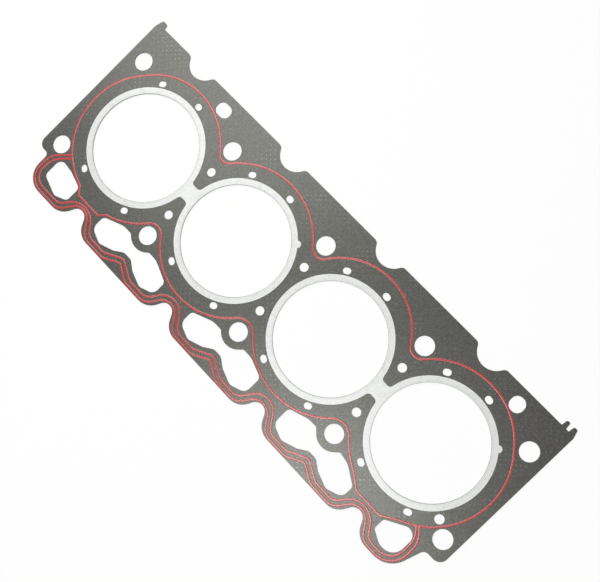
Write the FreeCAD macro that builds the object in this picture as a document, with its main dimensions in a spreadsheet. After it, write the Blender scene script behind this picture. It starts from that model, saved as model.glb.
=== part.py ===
import FreeCAD, Part
import math
import os
import Sketcher
from FreeCAD import Vector

# Cylinder head gasket of a four-cylinder pushrod engine, in millimetres.
# The origin lies on the block side of the gasket, midway between cylinders 2 and 3.
# +X runs along the bore row towards cylinder 4.
# +Y points to the spark-plug side and +Z to the cylinder head.
# The soft body is a perforated steel core between two fibre facings, all three stamped with one die.
# Folded sheet-metal armour lines the bores in pairs, and printed silicone beads lie on both faces.

SIZES = {
    # Bore row and the armour that lines it
    "bore_pitch": 88.0,
    "bore_opening": 73.0,
    "armour_sheet": 0.2,
    "armour_band": 4.3,
    "armour_nose": 0.35,
    "armour_clearance": 0.05,
    "bridge_half": 5.6,
    "bridge_fillet": 2.5,
    "lug_radius": 2.3,
    "lug_angle": 41.5,
    "lug_inset": 0.1,
    # Layers of the soft body
    "core_thickness": 0.4,
    "facing_thickness": 0.45,
    # Outline: end edges, straight spark-plug edge and stepped pushrod edge
    "end_margin": 11.9,
    "spark_edge": 64.0,
    "pushrod_edge": 72.2,
    "tab_corner": 4.5,
    "front_shoulder": 49.9,
    "front_shoulder_corner": 5.5,
    "front_neck": 177.8,
    "front_neck_fillet": 3.0,
    "front_bulge_corner": 13.5,
    "rear_shoulder": 47.2,
    "rear_shoulder_corner": 6.0,
    "rear_neck": 175.4,
    "rear_neck_fillet": 4.0,
    "rear_bulge": 168.0,
    "rear_bulge_corner": 16.0,
    # Clearance notches round the spark-plug wells
    "notch_shift": 11.5,
    "notch_floor": 55.7,
    "notch_radius": 11.5,
    "notch_angle": 58.0,
    "notch_corner": 3.5,
    "notch_lead": 20.0,
    # Scallops of the pushrod edge, one opposite each bore
    "scallop_crest": 59.5,
    "scallop_radius": 5.9,
    "scallop_angle": 62.5,
    "scallop_root": 12.0,
    "scallop_lead": 20.0,
    # Identification tab at the front and pair of teeth at the rear
    "tab_height": 3.4,
    "tab_width": 6.2,
    "tab_lean": 1.7,
    "tab_draft": 0.4,
    "tab_foot": 2.5,
    "tab_radius": 1.7,
    "tooth_height": 4.3,
    "tooth_gap": 1.0,
    "tooth_front": 10.9,
    "tooth_rear": 5.3,
    "tooth_width": 4.6,
    "tooth_tip": 2.3,
    "tooth_radius": 0.8,
    "tooth_root": 4.0,
    # Head bolts in two rows, with one corner bolt set out of line
    "bolt_row": 39.0,
    "bolt_hole": 12.5,
    "corner_bolt_out": 2.0,
    "corner_bolt_in": 4.1,
    # Round vents between the bores and the drain beside the fourth
    "vent_row": 19.7,
    "vent_hole": 5.9,
    "drain_along": 36.2,
    "drain_across": 28.0,
    "drain_hole": 6.2,
    # Coolant slots on a circle round each bore
    "slot_gap": 3.2,
    "slot_length": 5.4,
    "slot_width": 4.2,
    "slot_front_angle": 121.7,
    "slot_rear_angle": 82.1,
    "slot_low_angle": 62.5,
    # Oil holes on the spark-plug side
    "oil_feed_along": 20.0,
    "oil_feed_length": 11.4,
    "oil_feed_width": 9.1,
    "oil_feed_corner": 4.2,
    "oil_return_along": 19.4,
    "oil_return_length": 9.8,
    "oil_return_width": 10.3,
    "oil_return_corner": 4.6,
    "oil_row": 53.8,
    # Two-lobed pushrod ports, each wrapped round the boss of a head bolt
    "boss_wall": 4.95,
    "lobe_half": 30.9,
    "lobe_outer_corner": 3.5,
    "lobe_heel": 62.1,
    "lobe_heel_corner": 5.5,
    "lobe_floor": 66.1,
    "lobe_floor_along": 20.2,
    "lobe_floor_corner": 5.0,
    "lobe_shoulder_corner": 2.0,
    "hump_foot": 62.3,
    "hump_foot_along": 9.5,
    "hump_foot_corner": 4.0,
    "hump_top": 57.9,
    "hump_top_half": 3.2,
    "hump_top_corner": 5.0,
    # Upper edge of a lobe, which follows the bead round its bore
    "front_lobe_shoulder": 46.0,
    "front_lobe_knee": 46.0,
    "front_lobe_knee_along": 16.0,
    "front_lobe_outer": 52.0,
    "third_lobe_shoulder": 44.1,
    "third_lobe_knee": 44.2,
    "third_lobe_knee_along": 17.5,
    "third_lobe_outer": 48.9,
    "fourth_lobe_shoulder": 44.1,
    "fourth_lobe_knee": 45.4,
    "fourth_lobe_knee_along": 18.5,
    "fourth_lobe_outer": 53.0,
    "lobe_knee_radius": 12.0,
    # Single pushrod ports at the two ends
    "front_port_outer": 37.3,
    "front_port_inner": 12.9,
    "front_port_top_outer": 45.6,
    "front_port_top_knee": 46.9,
    "front_port_knee_along": 25.0,
    "front_port_top_inner": 50.6,
    "front_port_heel": 62.2,
    "front_port_floor": 66.3,
    "front_port_floor_along": 22.5,
    "front_port_lip": 61.2,
    "front_port_top_corner": 5.0,
    "front_port_corner": 3.5,
    "rear_port_outer": 33.8,
    "rear_port_inner": 13.5,
    "rear_port_top": 40.8,
    "rear_port_top_corner": 5.6,
    "rear_port_top_inner": 52.7,
    "rear_port_floor": 65.1,
    "rear_port_floor_along": 22.2,
    "rear_port_floor_corner": 8.5,
    "rear_port_heel": 60.6,
    "rear_port_inner_corner": 2.5,
    # Printed silicone beads
    "bead_width": 1.5,
    "bead_height": 0.18,
    "bead_bolt_gap": 2.75,
    "bead_top_standoff_one": 10.0,
    "bead_top_shift_one": 0.0,
    "bead_top_standoff_two": 9.9,
    "bead_top_shift_two": 0.0,
    "bead_top_standoff_three": 12.6,
    "bead_top_shift_three": 8.0,
    "bead_top_standoff_four": 10.5,
    "bead_top_shift_four": 1.8,
    "bead_bottom_standoff_one": 10.8,
    "bead_bottom_shift_one": 2.4,
    "bead_bottom_standoff_two": 10.6,
    "bead_bottom_shift_two": 4.8,
    "bead_bottom_standoff_three": 8.4,
    "bead_bottom_shift_three": 0.0,
    "bead_bottom_standoff_four": 8.9,
    "bead_bottom_shift_four": 0.0,
    "bead_front_standoff": 9.2,
    "bead_front_bolt_standoff": 8.1,
    "bead_front_low_angle": 225.0,
    "bead_front_end_angle": 185.0,
    "bead_rear_standoff": 9.4,
    "bead_rear_bolt_standoff": 9.0,
    "bead_rear_low_angle": -35.0,
    "bead_front_flat": 54.0,
    "bead_front_flat_half": 9.7,
    "bead_front_ramp": 13.7,
    "bead_front_ramp_angle": 18.0,
    "bead_rear_flat": 52.9,
    "bead_rear_flat_half": 10.0,
    "bead_rear_ramp": 19.5,
    "bead_rear_ramp_angle": 29.0,
    "bead_corner": 2.0,
    "edge_bead_angle": 55.0,
    "outer_bead_crest": 58.3,
    "outer_bead_flank": 51.6,
    "outer_bead_floor": 70.9,
    "outer_bead_root": 9.0,
    "outer_bead_hump": 64.4,
    "outer_bead_hump_angle": 30.0,
    "outer_bead_hump_radius": 3.0,
    "outer_bead_front": 176.3,
    "outer_bead_front_corner": 12.0,
    "outer_bead_front_join": 49.5,
    "outer_bead_rear": 170.0,
    "outer_bead_rear_corner": 14.0,
    "outer_bead_rear_join": 52.2,
    "inner_bead_crest_one": 56.6,
    "inner_bead_crest_two": 55.1,
    "inner_bead_crest_three": 54.1,
    "inner_bead_crest_four": 55.6,
    "inner_bead_flank": 46.0,
    "inner_bead_floor": 67.9,
    "inner_bead_root": 7.5,
    "inner_bead_hump": 60.9,
    "inner_bead_hump_angle": 28.0,
    "inner_bead_hump_radius": 4.0,
    "inner_bead_front": 173.6,
    "inner_bead_front_corner": 9.5,
    "inner_bead_front_join": 52.4,
    "inner_bead_rear": 167.0,
    "inner_bead_rear_corner": 11.0,
    "inner_bead_rear_join": 54.2,
    "bead_turn_corner": 14.0,
}

BORES = (0, 1, 2, 3)
BOLTS = (0, 1, 2, 3, 4)
NUMBERS = ("one", "two", "three", "four")
STACK = "(sizes.core_thickness + 2 * sizes.facing_thickness)"
TOTAL = f"({STACK} + 2 * sizes.armour_sheet)"
FLANGE_RADIUS = "(sizes.bore_opening / 2 + sizes.armour_band)"
WALL_RADIUS = "(sizes.bore_opening / 2 + sizes.armour_sheet)"
BOSS_RADIUS = "(sizes.bolt_hole / 2 + sizes.boss_wall)"
SLOT_RADIUS = f"({FLANGE_RADIUS} + sizes.slot_gap)"
END_REACH = "(2 * sizes.bore_pitch + sizes.end_margin)"
OVERCUT = 10.0
# Corners that vanish inside the blank or in the waste
HIDDEN = "0.1"
# Points nearer than this count as one
TOUCHING = 1e-4


def bore_x(index):
    """Expression for the X of a bore, counted from 0 at cylinder 1."""
    return f"({index} - 1.5) * sizes.bore_pitch"


def bolt_x(index):
    """Expression for the X of a pair of head bolts, counted from 0 at the front."""
    return f"({index} - 2) * sizes.bore_pitch"


def make_sheet(doc):
    """Write the driving dimensions into a spreadsheet, one aliased cell each."""
    sheet = doc.addObject("Spreadsheet::Sheet", "sizes")
    for row, (alias, value) in enumerate(SIZES.items(), start=1):
        cell = f"A{row}"
        sheet.set(cell, str(value))
        sheet.setAlias(cell, alias)
    doc.recompute()
    return sheet


def sketch_in(body, name, height="0"):
    """Start a sketch parallel to the body's XY plane, at a height given by an expression."""
    plane = next(item for item in body.Origin.OriginFeatures if item.Role == "XY_Plane")
    sketch = body.newObject("Sketcher::SketchObject", f"{body.Name}_{name}")
    sketch.AttachmentSupport = [(plane, "")]
    sketch.MapMode = "FlatFace"
    sketch.setExpression("AttachmentOffset.Base.z", height)
    return sketch


def add_bound(sketch, constraints, bound):
    """Add constraints, then tie each named one to its expression."""
    for constraint, name, expression in bound:
        constraint.Name = name
        constraints.append(constraint)
    sketch.addConstraint(constraints)
    for constraint, name, expression in bound:
        sketch.setExpression(f"Constraints.{name}", expression)


def circle(sketch, across_x, across_y, radius):
    """Draw one circle, its centre and radius given by expressions."""
    value = sketch.evalExpression
    centre = Vector(value(across_x), value(across_y), 0)
    index = sketch.addGeometry(Part.Circle(centre, Vector(0, 0, 1), value(radius)))
    bound = [
        (Sketcher.Constraint("DistanceX", -1, 1, index, 3, centre.x), f"x_{index}", across_x),
        (Sketcher.Constraint("DistanceY", -1, 1, index, 3, centre.y), f"y_{index}", across_y),
        (Sketcher.Constraint("Radius", index, value(radius)), f"radius_{index}", radius),
    ]
    add_bound(sketch, [], bound)


def fillet_points(before, corner, after, radius):
    """Tangent points and centre of the arc that rounds a corner between two straight runs."""
    to_before = (before - corner).normalize()
    to_after = (after - corner).normalize()
    half = to_before.getAngle(to_after) / 2
    setback = radius / math.tan(half)
    centre = corner + (to_before + to_after).normalize() * (radius / math.sin(half))
    return corner + to_before * setback, corner + to_after * setback, centre


def profile(sketch, corners):
    """Draw a closed outline of straight runs joined by tangent arcs.

    Each corner is three expressions: X, Y and the radius that rounds it. The corners stay in the sketch
    as construction points, and every point and radius is tied to its expression.
    """
    value = sketch.evalExpression
    points = [Vector(value(x), value(y), 0) for x, y, radius in corners]
    radii = [value(radius) for x, y, radius in corners]
    count = len(corners)
    rounds = [
        fillet_points(points[i - 1], points[i], points[(i + 1) % count], radii[i]) for i in range(count)
    ]
    first = sketch.GeometryCount
    shapes = []
    left_turns = []
    for i, (start, end, centre) in enumerate(rounds):
        left = (start - centre).cross(end - centre).z > 0
        low, high = (start, end) if left else (end, start)
        ring = Part.Circle(centre, Vector(0, 0, 1), radii[i])
        shapes.append(Part.ArcOfCircle(ring, ring.parameter(low), ring.parameter(high)))
        shapes.append(Part.LineSegment(end, rounds[(i + 1) % count][0]))
        left_turns.append(left)
    sketch.addGeometry(shapes, False)
    sketch.addGeometry([Part.Point(point) for point in points], True)
    constraints = []
    bound = []
    for i, (x, y, radius) in enumerate(corners):
        arc = first + 2 * i
        run = arc + 1
        run_before = first + 2 * ((i - 1) % count) + 1
        corner = first + 2 * count + i
        start, end = (1, 2) if left_turns[i] else (2, 1)
        constraints.append(Sketcher.Constraint("Tangent", run_before, 2, arc, start))
        constraints.append(Sketcher.Constraint("Tangent", arc, end, run, 1))
        constraints.append(Sketcher.Constraint("PointOnObject", corner, 1, run_before))
        constraints.append(Sketcher.Constraint("PointOnObject", corner, 1, run))
        bound.append((Sketcher.Constraint("Radius", arc, radii[i]), f"radius_{corner}", radius))
        bound.append((Sketcher.Constraint("DistanceX", -1, 1, corner, 1, points[i].x), f"x_{corner}", x))
        bound.append((Sketcher.Constraint("DistanceY", -1, 1, corner, 1, points[i].y), f"y_{corner}", y))
    add_bound(sketch, constraints, bound)


def slot(sketch, centre_x, centre_y, direction, length, width):
    """Draw an oblong hole about a centre, its long axis at an angle, all given by expressions."""
    value = sketch.evalExpression
    radius = value(width) / 2
    reach = f"(({length}) - ({width})) / 2"
    ends = []
    for sign in ("-", "+"):
        end_x = f"{centre_x} {sign} {reach} * cos({direction})"
        end_y = f"{centre_y} {sign} {reach} * sin({direction})"
        ends.append((end_x, end_y))
    low, high = (Vector(value(x), value(y), 0) for x, y in ends)
    side = Vector(0, 0, 1).cross((high - low).normalize()) * radius
    turn = math.radians(value(direction))
    quarter = math.pi / 2
    low_circle = Part.Circle(low, Vector(0, 0, 1), radius)
    high_circle = Part.Circle(high, Vector(0, 0, 1), radius)
    first = sketch.GeometryCount
    sketch.addGeometry([
        Part.ArcOfCircle(low_circle, turn + quarter, turn + 3 * quarter),
        Part.LineSegment(low - side, high - side),
        Part.ArcOfCircle(high_circle, turn - quarter, turn + quarter),
        Part.LineSegment(high + side, low + side),
    ], False)
    constraints = [
        Sketcher.Constraint("Tangent", first, 2, first + 1, 1),
        Sketcher.Constraint("Tangent", first + 1, 2, first + 2, 1),
        Sketcher.Constraint("Tangent", first + 2, 2, first + 3, 1),
        Sketcher.Constraint("Tangent", first + 3, 2, first, 1),
    ]
    bound = []
    for arc, centre, (x, y) in ((first, low, ends[0]), (first + 2, high, ends[1])):
        bound.append((Sketcher.Constraint("DistanceX", -1, 1, arc, 3, centre.x), f"x_{arc}", x))
        bound.append((Sketcher.Constraint("DistanceY", -1, 1, arc, 3, centre.y), f"y_{arc}", y))
        bound.append((Sketcher.Constraint("Radius", arc, radius), f"radius_{arc}", f"{width} / 2"))
    add_bound(sketch, constraints, bound)


def pad(body, sketch, length):
    """Raise a sketch by a length given by an expression."""
    feature = body.newObject("PartDesign::Pad", f"{sketch.Name}_pad")
    feature.Profile = sketch
    feature.setExpression("Length", length)
    body.Tip = feature
    return feature


def punch(body, sketch, repeats=1):
    """Cut a sketch right through the body, and repeat the cut at the bore pitch along the row."""
    feature = body.newObject("PartDesign::Pocket", f"{sketch.Name}_cut")
    feature.Profile = sketch
    feature.Type = "ThroughAll"
    feature.SideType = "Symmetric"
    body.Tip = feature
    if repeats > 1:
        row = next(item for item in body.Origin.OriginFeatures if item.Role == "X_Axis")
        pattern = body.newObject("PartDesign::LinearPattern", f"{sketch.Name}_row")
        pattern.Originals = [feature]
        pattern.Direction = (row, [""])
        pattern.Occurrences = repeats
        pattern.setExpression("Length", f"{repeats - 1} * sizes.bore_pitch")
        body.Tip = pattern
    return feature


def blank(body):
    """Outer edge of the die without its notches and scallops: two ends, shoulders and bulges."""
    sketch = sketch_in(body, "outline", "sizes.armour_sheet")
    profile(sketch, [
        (f"-{END_REACH}", "sizes.spark_edge", "sizes.tab_corner"),
        (END_REACH, "sizes.spark_edge", "sizes.tab_corner"),
        (END_REACH, "-sizes.rear_shoulder", "sizes.rear_shoulder_corner"),
        ("sizes.rear_neck", "-sizes.rear_shoulder", "sizes.rear_neck_fillet"),
        ("sizes.rear_bulge", "-sizes.pushrod_edge", "sizes.rear_bulge_corner"),
        ("-sizes.front_neck", "-sizes.pushrod_edge", "sizes.front_bulge_corner"),
        ("-sizes.front_neck", "-sizes.front_shoulder", "sizes.front_neck_fillet"),
        (f"-{END_REACH}", "-sizes.front_shoulder", "sizes.front_shoulder_corner"),
    ])
    pad(body, sketch, STACK)


def identification_tab(body):
    """Single rounded tab that stands up from the front end of the spark-plug edge."""
    sketch = sketch_in(body, "tab", "sizes.armour_sheet")
    top = "sizes.spark_edge + sizes.tab_height"
    foot = "sizes.spark_edge - sizes.tab_corner"
    inner = f"-{END_REACH} + sizes.tab_width"
    profile(sketch, [
        (f"-{END_REACH}", foot, HIDDEN),
        (f"-{END_REACH}", "sizes.spark_edge - sizes.tab_foot", "sizes.tab_corner"),
        (f"-{END_REACH} + sizes.tab_lean", top, "sizes.tab_radius"),
        (f"{inner} - sizes.tab_draft", top, "sizes.tab_radius"),
        (inner, foot, HIDDEN),
    ])
    pad(body, sketch, STACK)


def identification_teeth(body):
    """Two rounded teeth at the rear end of the spark-plug edge, the last one leaning into the end edge."""
    top = "sizes.spark_edge + sizes.tooth_height"
    foot = "sizes.spark_edge - sizes.tooth_root"
    tip = "(sizes.tooth_width - sizes.tooth_tip) / 2"
    first = sketch_in(body, "tooth_front", "sizes.armour_sheet")
    low = f"({END_REACH} - sizes.tooth_front)"
    profile(first, [
        (low, foot, HIDDEN),
        (f"{low} + {tip}", top, "sizes.tooth_radius"),
        (f"{low} + sizes.tooth_width - {tip}", top, "sizes.tooth_radius"),
        (f"{low} + sizes.tooth_width", foot, HIDDEN),
    ])
    pad(body, first, STACK)
    second = sketch_in(body, "tooth_rear", "sizes.armour_sheet")
    low = f"({END_REACH} - sizes.tooth_rear)"
    profile(second, [
        (low, foot, HIDDEN),
        (f"{low} + {tip}", top, "sizes.tooth_radius"),
        (f"{END_REACH} - sizes.tab_lean", top, "sizes.tooth_radius"),
        (END_REACH, "sizes.spark_edge - sizes.tooth_gap", "sizes.tooth_radius"),
        (END_REACH, foot, HIDDEN),
    ])
    pad(body, second, STACK)


def spark_plug_notches(body):
    """Round-bottomed notches in the straight edge, one beside each spark-plug well."""
    centre = f"({bore_x(0)} - sizes.notch_shift)"
    apex = "(sizes.notch_floor - sizes.notch_radius * (1 / cos(sizes.notch_angle) - 1))"
    half = f"(sizes.spark_edge - {apex}) / tan(sizes.notch_angle)"
    beyond = f"(sizes.spark_edge + {OVERCUT})"
    sketch = sketch_in(body, "notch")
    profile(sketch, [
        (f"{centre} - sizes.notch_lead", beyond, HIDDEN),
        (f"{centre} - sizes.notch_lead", "sizes.spark_edge", HIDDEN),
        (f"{centre} - {half}", "sizes.spark_edge", "sizes.notch_corner"),
        (centre, apex, "sizes.notch_radius"),
        (f"{centre} + {half}", "sizes.spark_edge", "sizes.notch_corner"),
        (f"{centre} + sizes.notch_lead", "sizes.spark_edge", HIDDEN),
        (f"{centre} + sizes.notch_lead", beyond, HIDDEN),
    ])
    punch(body, sketch, len(BORES))


def pushrod_scallops(body):
    """Bays between the pushrod ports, opposite each bore."""
    centre = f"({bore_x(0)})"
    apex = "(sizes.scallop_crest - sizes.scallop_radius * (1 / cos(sizes.scallop_angle) - 1))"
    half = f"(sizes.pushrod_edge - {apex}) / tan(sizes.scallop_angle)"
    beyond = f"-(sizes.pushrod_edge + {OVERCUT})"
    sketch = sketch_in(body, "scallop")
    profile(sketch, [
        (f"{centre} - sizes.scallop_lead", beyond, HIDDEN),
        (f"{centre} - sizes.scallop_lead", "-sizes.pushrod_edge", HIDDEN),
        (f"{centre} - {half}", "-sizes.pushrod_edge", "sizes.scallop_root"),
        (centre, f"-{apex}", "sizes.scallop_radius"),
        (f"{centre} + {half}", "-sizes.pushrod_edge", "sizes.scallop_root"),
        (f"{centre} + sizes.scallop_lead", "-sizes.pushrod_edge", HIDDEN),
        (f"{centre} + sizes.scallop_lead", beyond, HIDDEN),
    ])
    punch(body, sketch, len(BORES))


def bore_openings(body):
    """Openings for the bores, a clearance wider than the wall of the armour."""
    sketch = sketch_in(body, "bore")
    circle(sketch, bore_x(0), "0", f"{WALL_RADIUS} + sizes.armour_clearance")
    punch(body, sketch, len(BORES))


def bolt_holes(body):
    """Ten head-bolt holes: two rows of five, the rear one of the pushrod row out of line."""
    sketch = sketch_in(body, "bolts")
    for index in BOLTS:
        circle(sketch, bolt_x(index), "sizes.bolt_row", "sizes.bolt_hole / 2")
    for index in BOLTS[:-1]:
        circle(sketch, bolt_x(index), "-sizes.bolt_row", "sizes.bolt_hole / 2")
    corner_x = f"{bolt_x(BOLTS[-1])} + sizes.corner_bolt_out"
    circle(sketch, corner_x, "-sizes.bolt_row + sizes.corner_bolt_in", "sizes.bolt_hole / 2")
    punch(body, sketch)


def vents_and_drain(body):
    """Six round vents between the bores and one drain beside the fourth."""
    sketch = sketch_in(body, "vents")
    for index in BOLTS[1:-1]:
        circle(sketch, bolt_x(index), "sizes.vent_row", "sizes.vent_hole / 2")
        circle(sketch, bolt_x(index), "-sizes.vent_row", "sizes.vent_hole / 2")
    circle(sketch, f"{bore_x(3)} + sizes.drain_along", "-sizes.drain_across", "sizes.drain_hole / 2")
    punch(body, sketch)


def coolant_slots(body):
    """Four oblong coolant slots round each bore, lying along their circle."""
    sketch = sketch_in(body, "slots")
    for angle in (
        "sizes.slot_front_angle",
        "sizes.slot_rear_angle",
        "(180 + sizes.slot_low_angle)",
        "(360 - sizes.slot_low_angle)",
    ):
        centre_x = f"{bore_x(0)} + {SLOT_RADIUS} * cos({angle})"
        centre_y = f"{SLOT_RADIUS} * sin({angle})"
        slot(sketch, centre_x, centre_y, f"({angle} + 90)", "sizes.slot_length", "sizes.slot_width")
    punch(body, sketch, len(BORES))


def oil_holes(body):
    """Two squarish oil holes on the spark-plug side, beside the first and the fourth bore."""
    for name, along in (
        ("oil_feed", f"({bore_x(0)} + sizes.oil_feed_along)"),
        ("oil_return", f"({bore_x(3)} + sizes.oil_return_along)"),
    ):
        half_x = f"sizes.{name}_length / 2"
        half_y = f"sizes.{name}_width / 2"
        corner = f"sizes.{name}_corner"
        sketch = sketch_in(body, name)
        profile(sketch, [
            (f"{along} - {half_x}", f"sizes.oil_row - {half_y}", corner),
            (f"{along} - {half_x}", f"sizes.oil_row + {half_y}", corner),
            (f"{along} + {half_x}", f"sizes.oil_row + {half_y}", corner),
            (f"{along} + {half_x}", f"sizes.oil_row - {half_y}", corner),
        ])
        punch(body, sketch)


def lobe_corners(centre, side, bore):
    """Corners of one lobe of a pushrod port, on one side of the bolt, from its boss round to the hump."""
    boss_apex = f"(sizes.bolt_row + {BOSS_RADIUS} * sqrt(2))"
    shoulder = f"sizes.{bore}_lobe_shoulder"
    knee = f"{centre} {side} sizes.{bore}_lobe_knee_along"
    return [
        (f"{centre} {side} ({boss_apex} - {shoulder})", f"-{shoulder}", "sizes.lobe_shoulder_corner"),
        (knee, f"-sizes.{bore}_lobe_knee", "sizes.lobe_knee_radius"),
        (f"{centre} {side} sizes.lobe_half", f"-sizes.{bore}_lobe_outer", "sizes.lobe_outer_corner"),
        (f"{centre} {side} sizes.lobe_half", "-sizes.lobe_heel", "sizes.lobe_heel_corner"),
        (f"{centre} {side} sizes.lobe_floor_along", "-sizes.lobe_floor", "sizes.lobe_floor_corner"),
        (f"{centre} {side} sizes.hump_foot_along", "-sizes.hump_foot", "sizes.hump_foot_corner"),
        (f"{centre} {side} sizes.hump_top_half", "-sizes.hump_top", "sizes.hump_top_corner"),
    ]


def pushrod_ports(body):
    """Three two-lobed ports wrapped round the bolts of the pushrod row, and a single port at each end."""
    for index, front, rear in ((1, "front", "front"), (2, "front", "third"), (3, "third", "fourth")):
        centre = f"({bolt_x(index)})"
        boss = (centre, f"-(sizes.bolt_row + {BOSS_RADIUS} * sqrt(2))", BOSS_RADIUS)
        sketch = sketch_in(body, f"port_{index + 1}")
        profile(sketch, [boss] + lobe_corners(centre, "+", rear) + lobe_corners(centre, "-", front)[::-1])
        punch(body, sketch)
    front = sketch_in(body, "port_front")
    bore = f"({bore_x(0)})"
    profile(front, [
        (f"{bore} - sizes.front_port_outer", "-sizes.front_port_top_outer", "sizes.front_port_top_corner"),
        (f"{bore} - sizes.front_port_knee_along", "-sizes.front_port_top_knee", "sizes.lobe_knee_radius"),
        (f"{bore} - sizes.front_port_inner", "-sizes.front_port_top_inner", "sizes.front_port_corner"),
        (f"{bore} - sizes.front_port_inner", "-sizes.front_port_heel", "sizes.front_port_corner"),
        (f"{bore} - sizes.front_port_floor_along", "-sizes.front_port_floor", "sizes.lobe_floor_corner"),
        (f"{bore} - sizes.front_port_outer", "-sizes.front_port_lip", "sizes.front_port_corner"),
    ])
    punch(body, front)
    rear = sketch_in(body, "port_rear")
    bore = f"({bore_x(3)})"
    profile(rear, [
        (f"{bore} + sizes.rear_port_outer", "-sizes.rear_port_top", "sizes.rear_port_top_corner"),
        (f"{bore} + sizes.rear_port_outer", "-sizes.rear_port_floor", "sizes.rear_port_floor_corner"),
        (f"{bore} + sizes.rear_port_floor_along", "-sizes.rear_port_floor", "sizes.lobe_floor_corner"),
        (f"{bore} + sizes.rear_port_inner", "-sizes.rear_port_heel", "sizes.rear_port_inner_corner"),
        (f"{bore} + sizes.rear_port_inner", "-sizes.rear_port_top_inner", "sizes.rear_port_inner_corner"),
    ])
    punch(body, rear)


def die_cut_stack(doc):
    """Shape that one die stamps through the core and both facings."""
    body = doc.addObject("PartDesign::Body", "stack")
    blank(body)
    identification_tab(body)
    identification_teeth(body)
    spark_plug_notches(body)
    pushrod_scallops(body)
    bore_openings(body)
    bolt_holes(body)
    vents_and_drain(body)
    coolant_slots(body)
    oil_holes(body)
    pushrod_ports(body)
    doc.recompute()
    return body


def layer(doc, stack, name, bottom, thickness):
    """One layer of the stack: the die-cut shape between two levels."""
    slab = doc.addObject("Part::Box", f"{name}_slab")
    slab.setExpression("Length", f"2 * {END_REACH}")
    slab.setExpression("Width", f"2 * (sizes.pushrod_edge + {OVERCUT})")
    slab.setExpression("Height", thickness)
    slab.setExpression("Placement.Base.x", f"-{END_REACH}")
    slab.setExpression("Placement.Base.y", f"-(sizes.pushrod_edge + {OVERCUT})")
    slab.setExpression("Placement.Base.z", bottom)
    sheet = doc.addObject("Part::Common", name)
    sheet.Base = stack
    sheet.Tool = slab
    sheet.Label = name
    return sheet


def flange_outline(sketch, bore):
    """Two rings joined by a bridge, with its four inner corners rounded, about a bore and the next one."""
    value = sketch.evalExpression
    left, right = bore_x(bore), bore_x(bore + 1)
    radius = value(FLANGE_RADIUS)
    half = value("sizes.bridge_half")
    fillet = value("sizes.bridge_fillet")
    reach = math.sqrt((radius + fillet) ** 2 - (half + fillet) ** 2)
    sweep = math.atan2(half + fillet, reach)
    up = Vector(0, 0, 1)
    rings = []
    for centre, start in ((value(left), sweep), (value(right), math.pi + sweep)):
        ring = Part.Circle(Vector(centre, 0, 0), up, radius)
        rings.append(Part.ArcOfCircle(ring, start, start + 2 * (math.pi - sweep)))
    corners = []
    for centre, start, end in (
        (Vector(value(left) + reach, half + fillet, 0), math.pi + sweep, 1.5 * math.pi),
        (Vector(value(right) - reach, half + fillet, 0), 1.5 * math.pi, 2 * math.pi - sweep),
        (Vector(value(right) - reach, -half - fillet, 0), sweep, math.pi / 2),
        (Vector(value(left) + reach, -half - fillet, 0), math.pi / 2, math.pi - sweep),
    ):
        corners.append(Part.ArcOfCircle(Part.Circle(centre, up, fillet), start, end))
    sides = [
        Part.LineSegment(corners[0].EndPoint, corners[1].StartPoint),
        Part.LineSegment(corners[2].EndPoint, corners[3].StartPoint),
    ]
    sketch.addGeometry(rings + corners + sides, False)
    constraints = [
        Sketcher.Constraint("Tangent", 0, 1, 2, 1),
        Sketcher.Constraint("Tangent", 2, 2, 6, 1),
        Sketcher.Constraint("Tangent", 6, 2, 3, 1),
        Sketcher.Constraint("Tangent", 3, 2, 1, 2),
        Sketcher.Constraint("Tangent", 1, 1, 4, 1),
        Sketcher.Constraint("Tangent", 4, 2, 7, 1),
        Sketcher.Constraint("Tangent", 7, 2, 5, 1),
        Sketcher.Constraint("Tangent", 5, 2, 0, 2),
        Sketcher.Constraint("Horizontal", 6),
        Sketcher.Constraint("Horizontal", 7),
    ]
    bound = [
        (Sketcher.Constraint("DistanceY", -1, 1, 6, 1, half), "bridge_top", "sizes.bridge_half"),
        (Sketcher.Constraint("DistanceY", -1, 1, 7, 1, -half), "bridge_bottom", "-sizes.bridge_half"),
    ]
    for ring, centre in ((0, left), (1, right)):
        bound.append((Sketcher.Constraint("DistanceX", -1, 1, ring, 3, value(centre)), f"x_{ring}", centre))
        bound.append((Sketcher.Constraint("DistanceY", -1, 1, ring, 3, 0), f"y_{ring}", "0"))
        bound.append((Sketcher.Constraint("Radius", ring, radius), f"radius_{ring}", FLANGE_RADIUS))
    for corner in (2, 3, 4, 5):
        rounded = Sketcher.Constraint("Radius", corner, fillet)
        bound.append((rounded, f"radius_{corner}", "sizes.bridge_fillet"))
    add_bound(sketch, constraints, bound)


def nose_edges(shape, radius):
    """Names of the circular edges where the bore openings meet the two outer faces."""
    names = []
    for index, edge in enumerate(shape.Edges, start=1):
        if isinstance(edge.Curve, Part.Circle) and abs(edge.Curve.Radius - radius) < TOUCHING:
            names.append(f"Edge{index}")
    return names


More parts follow.
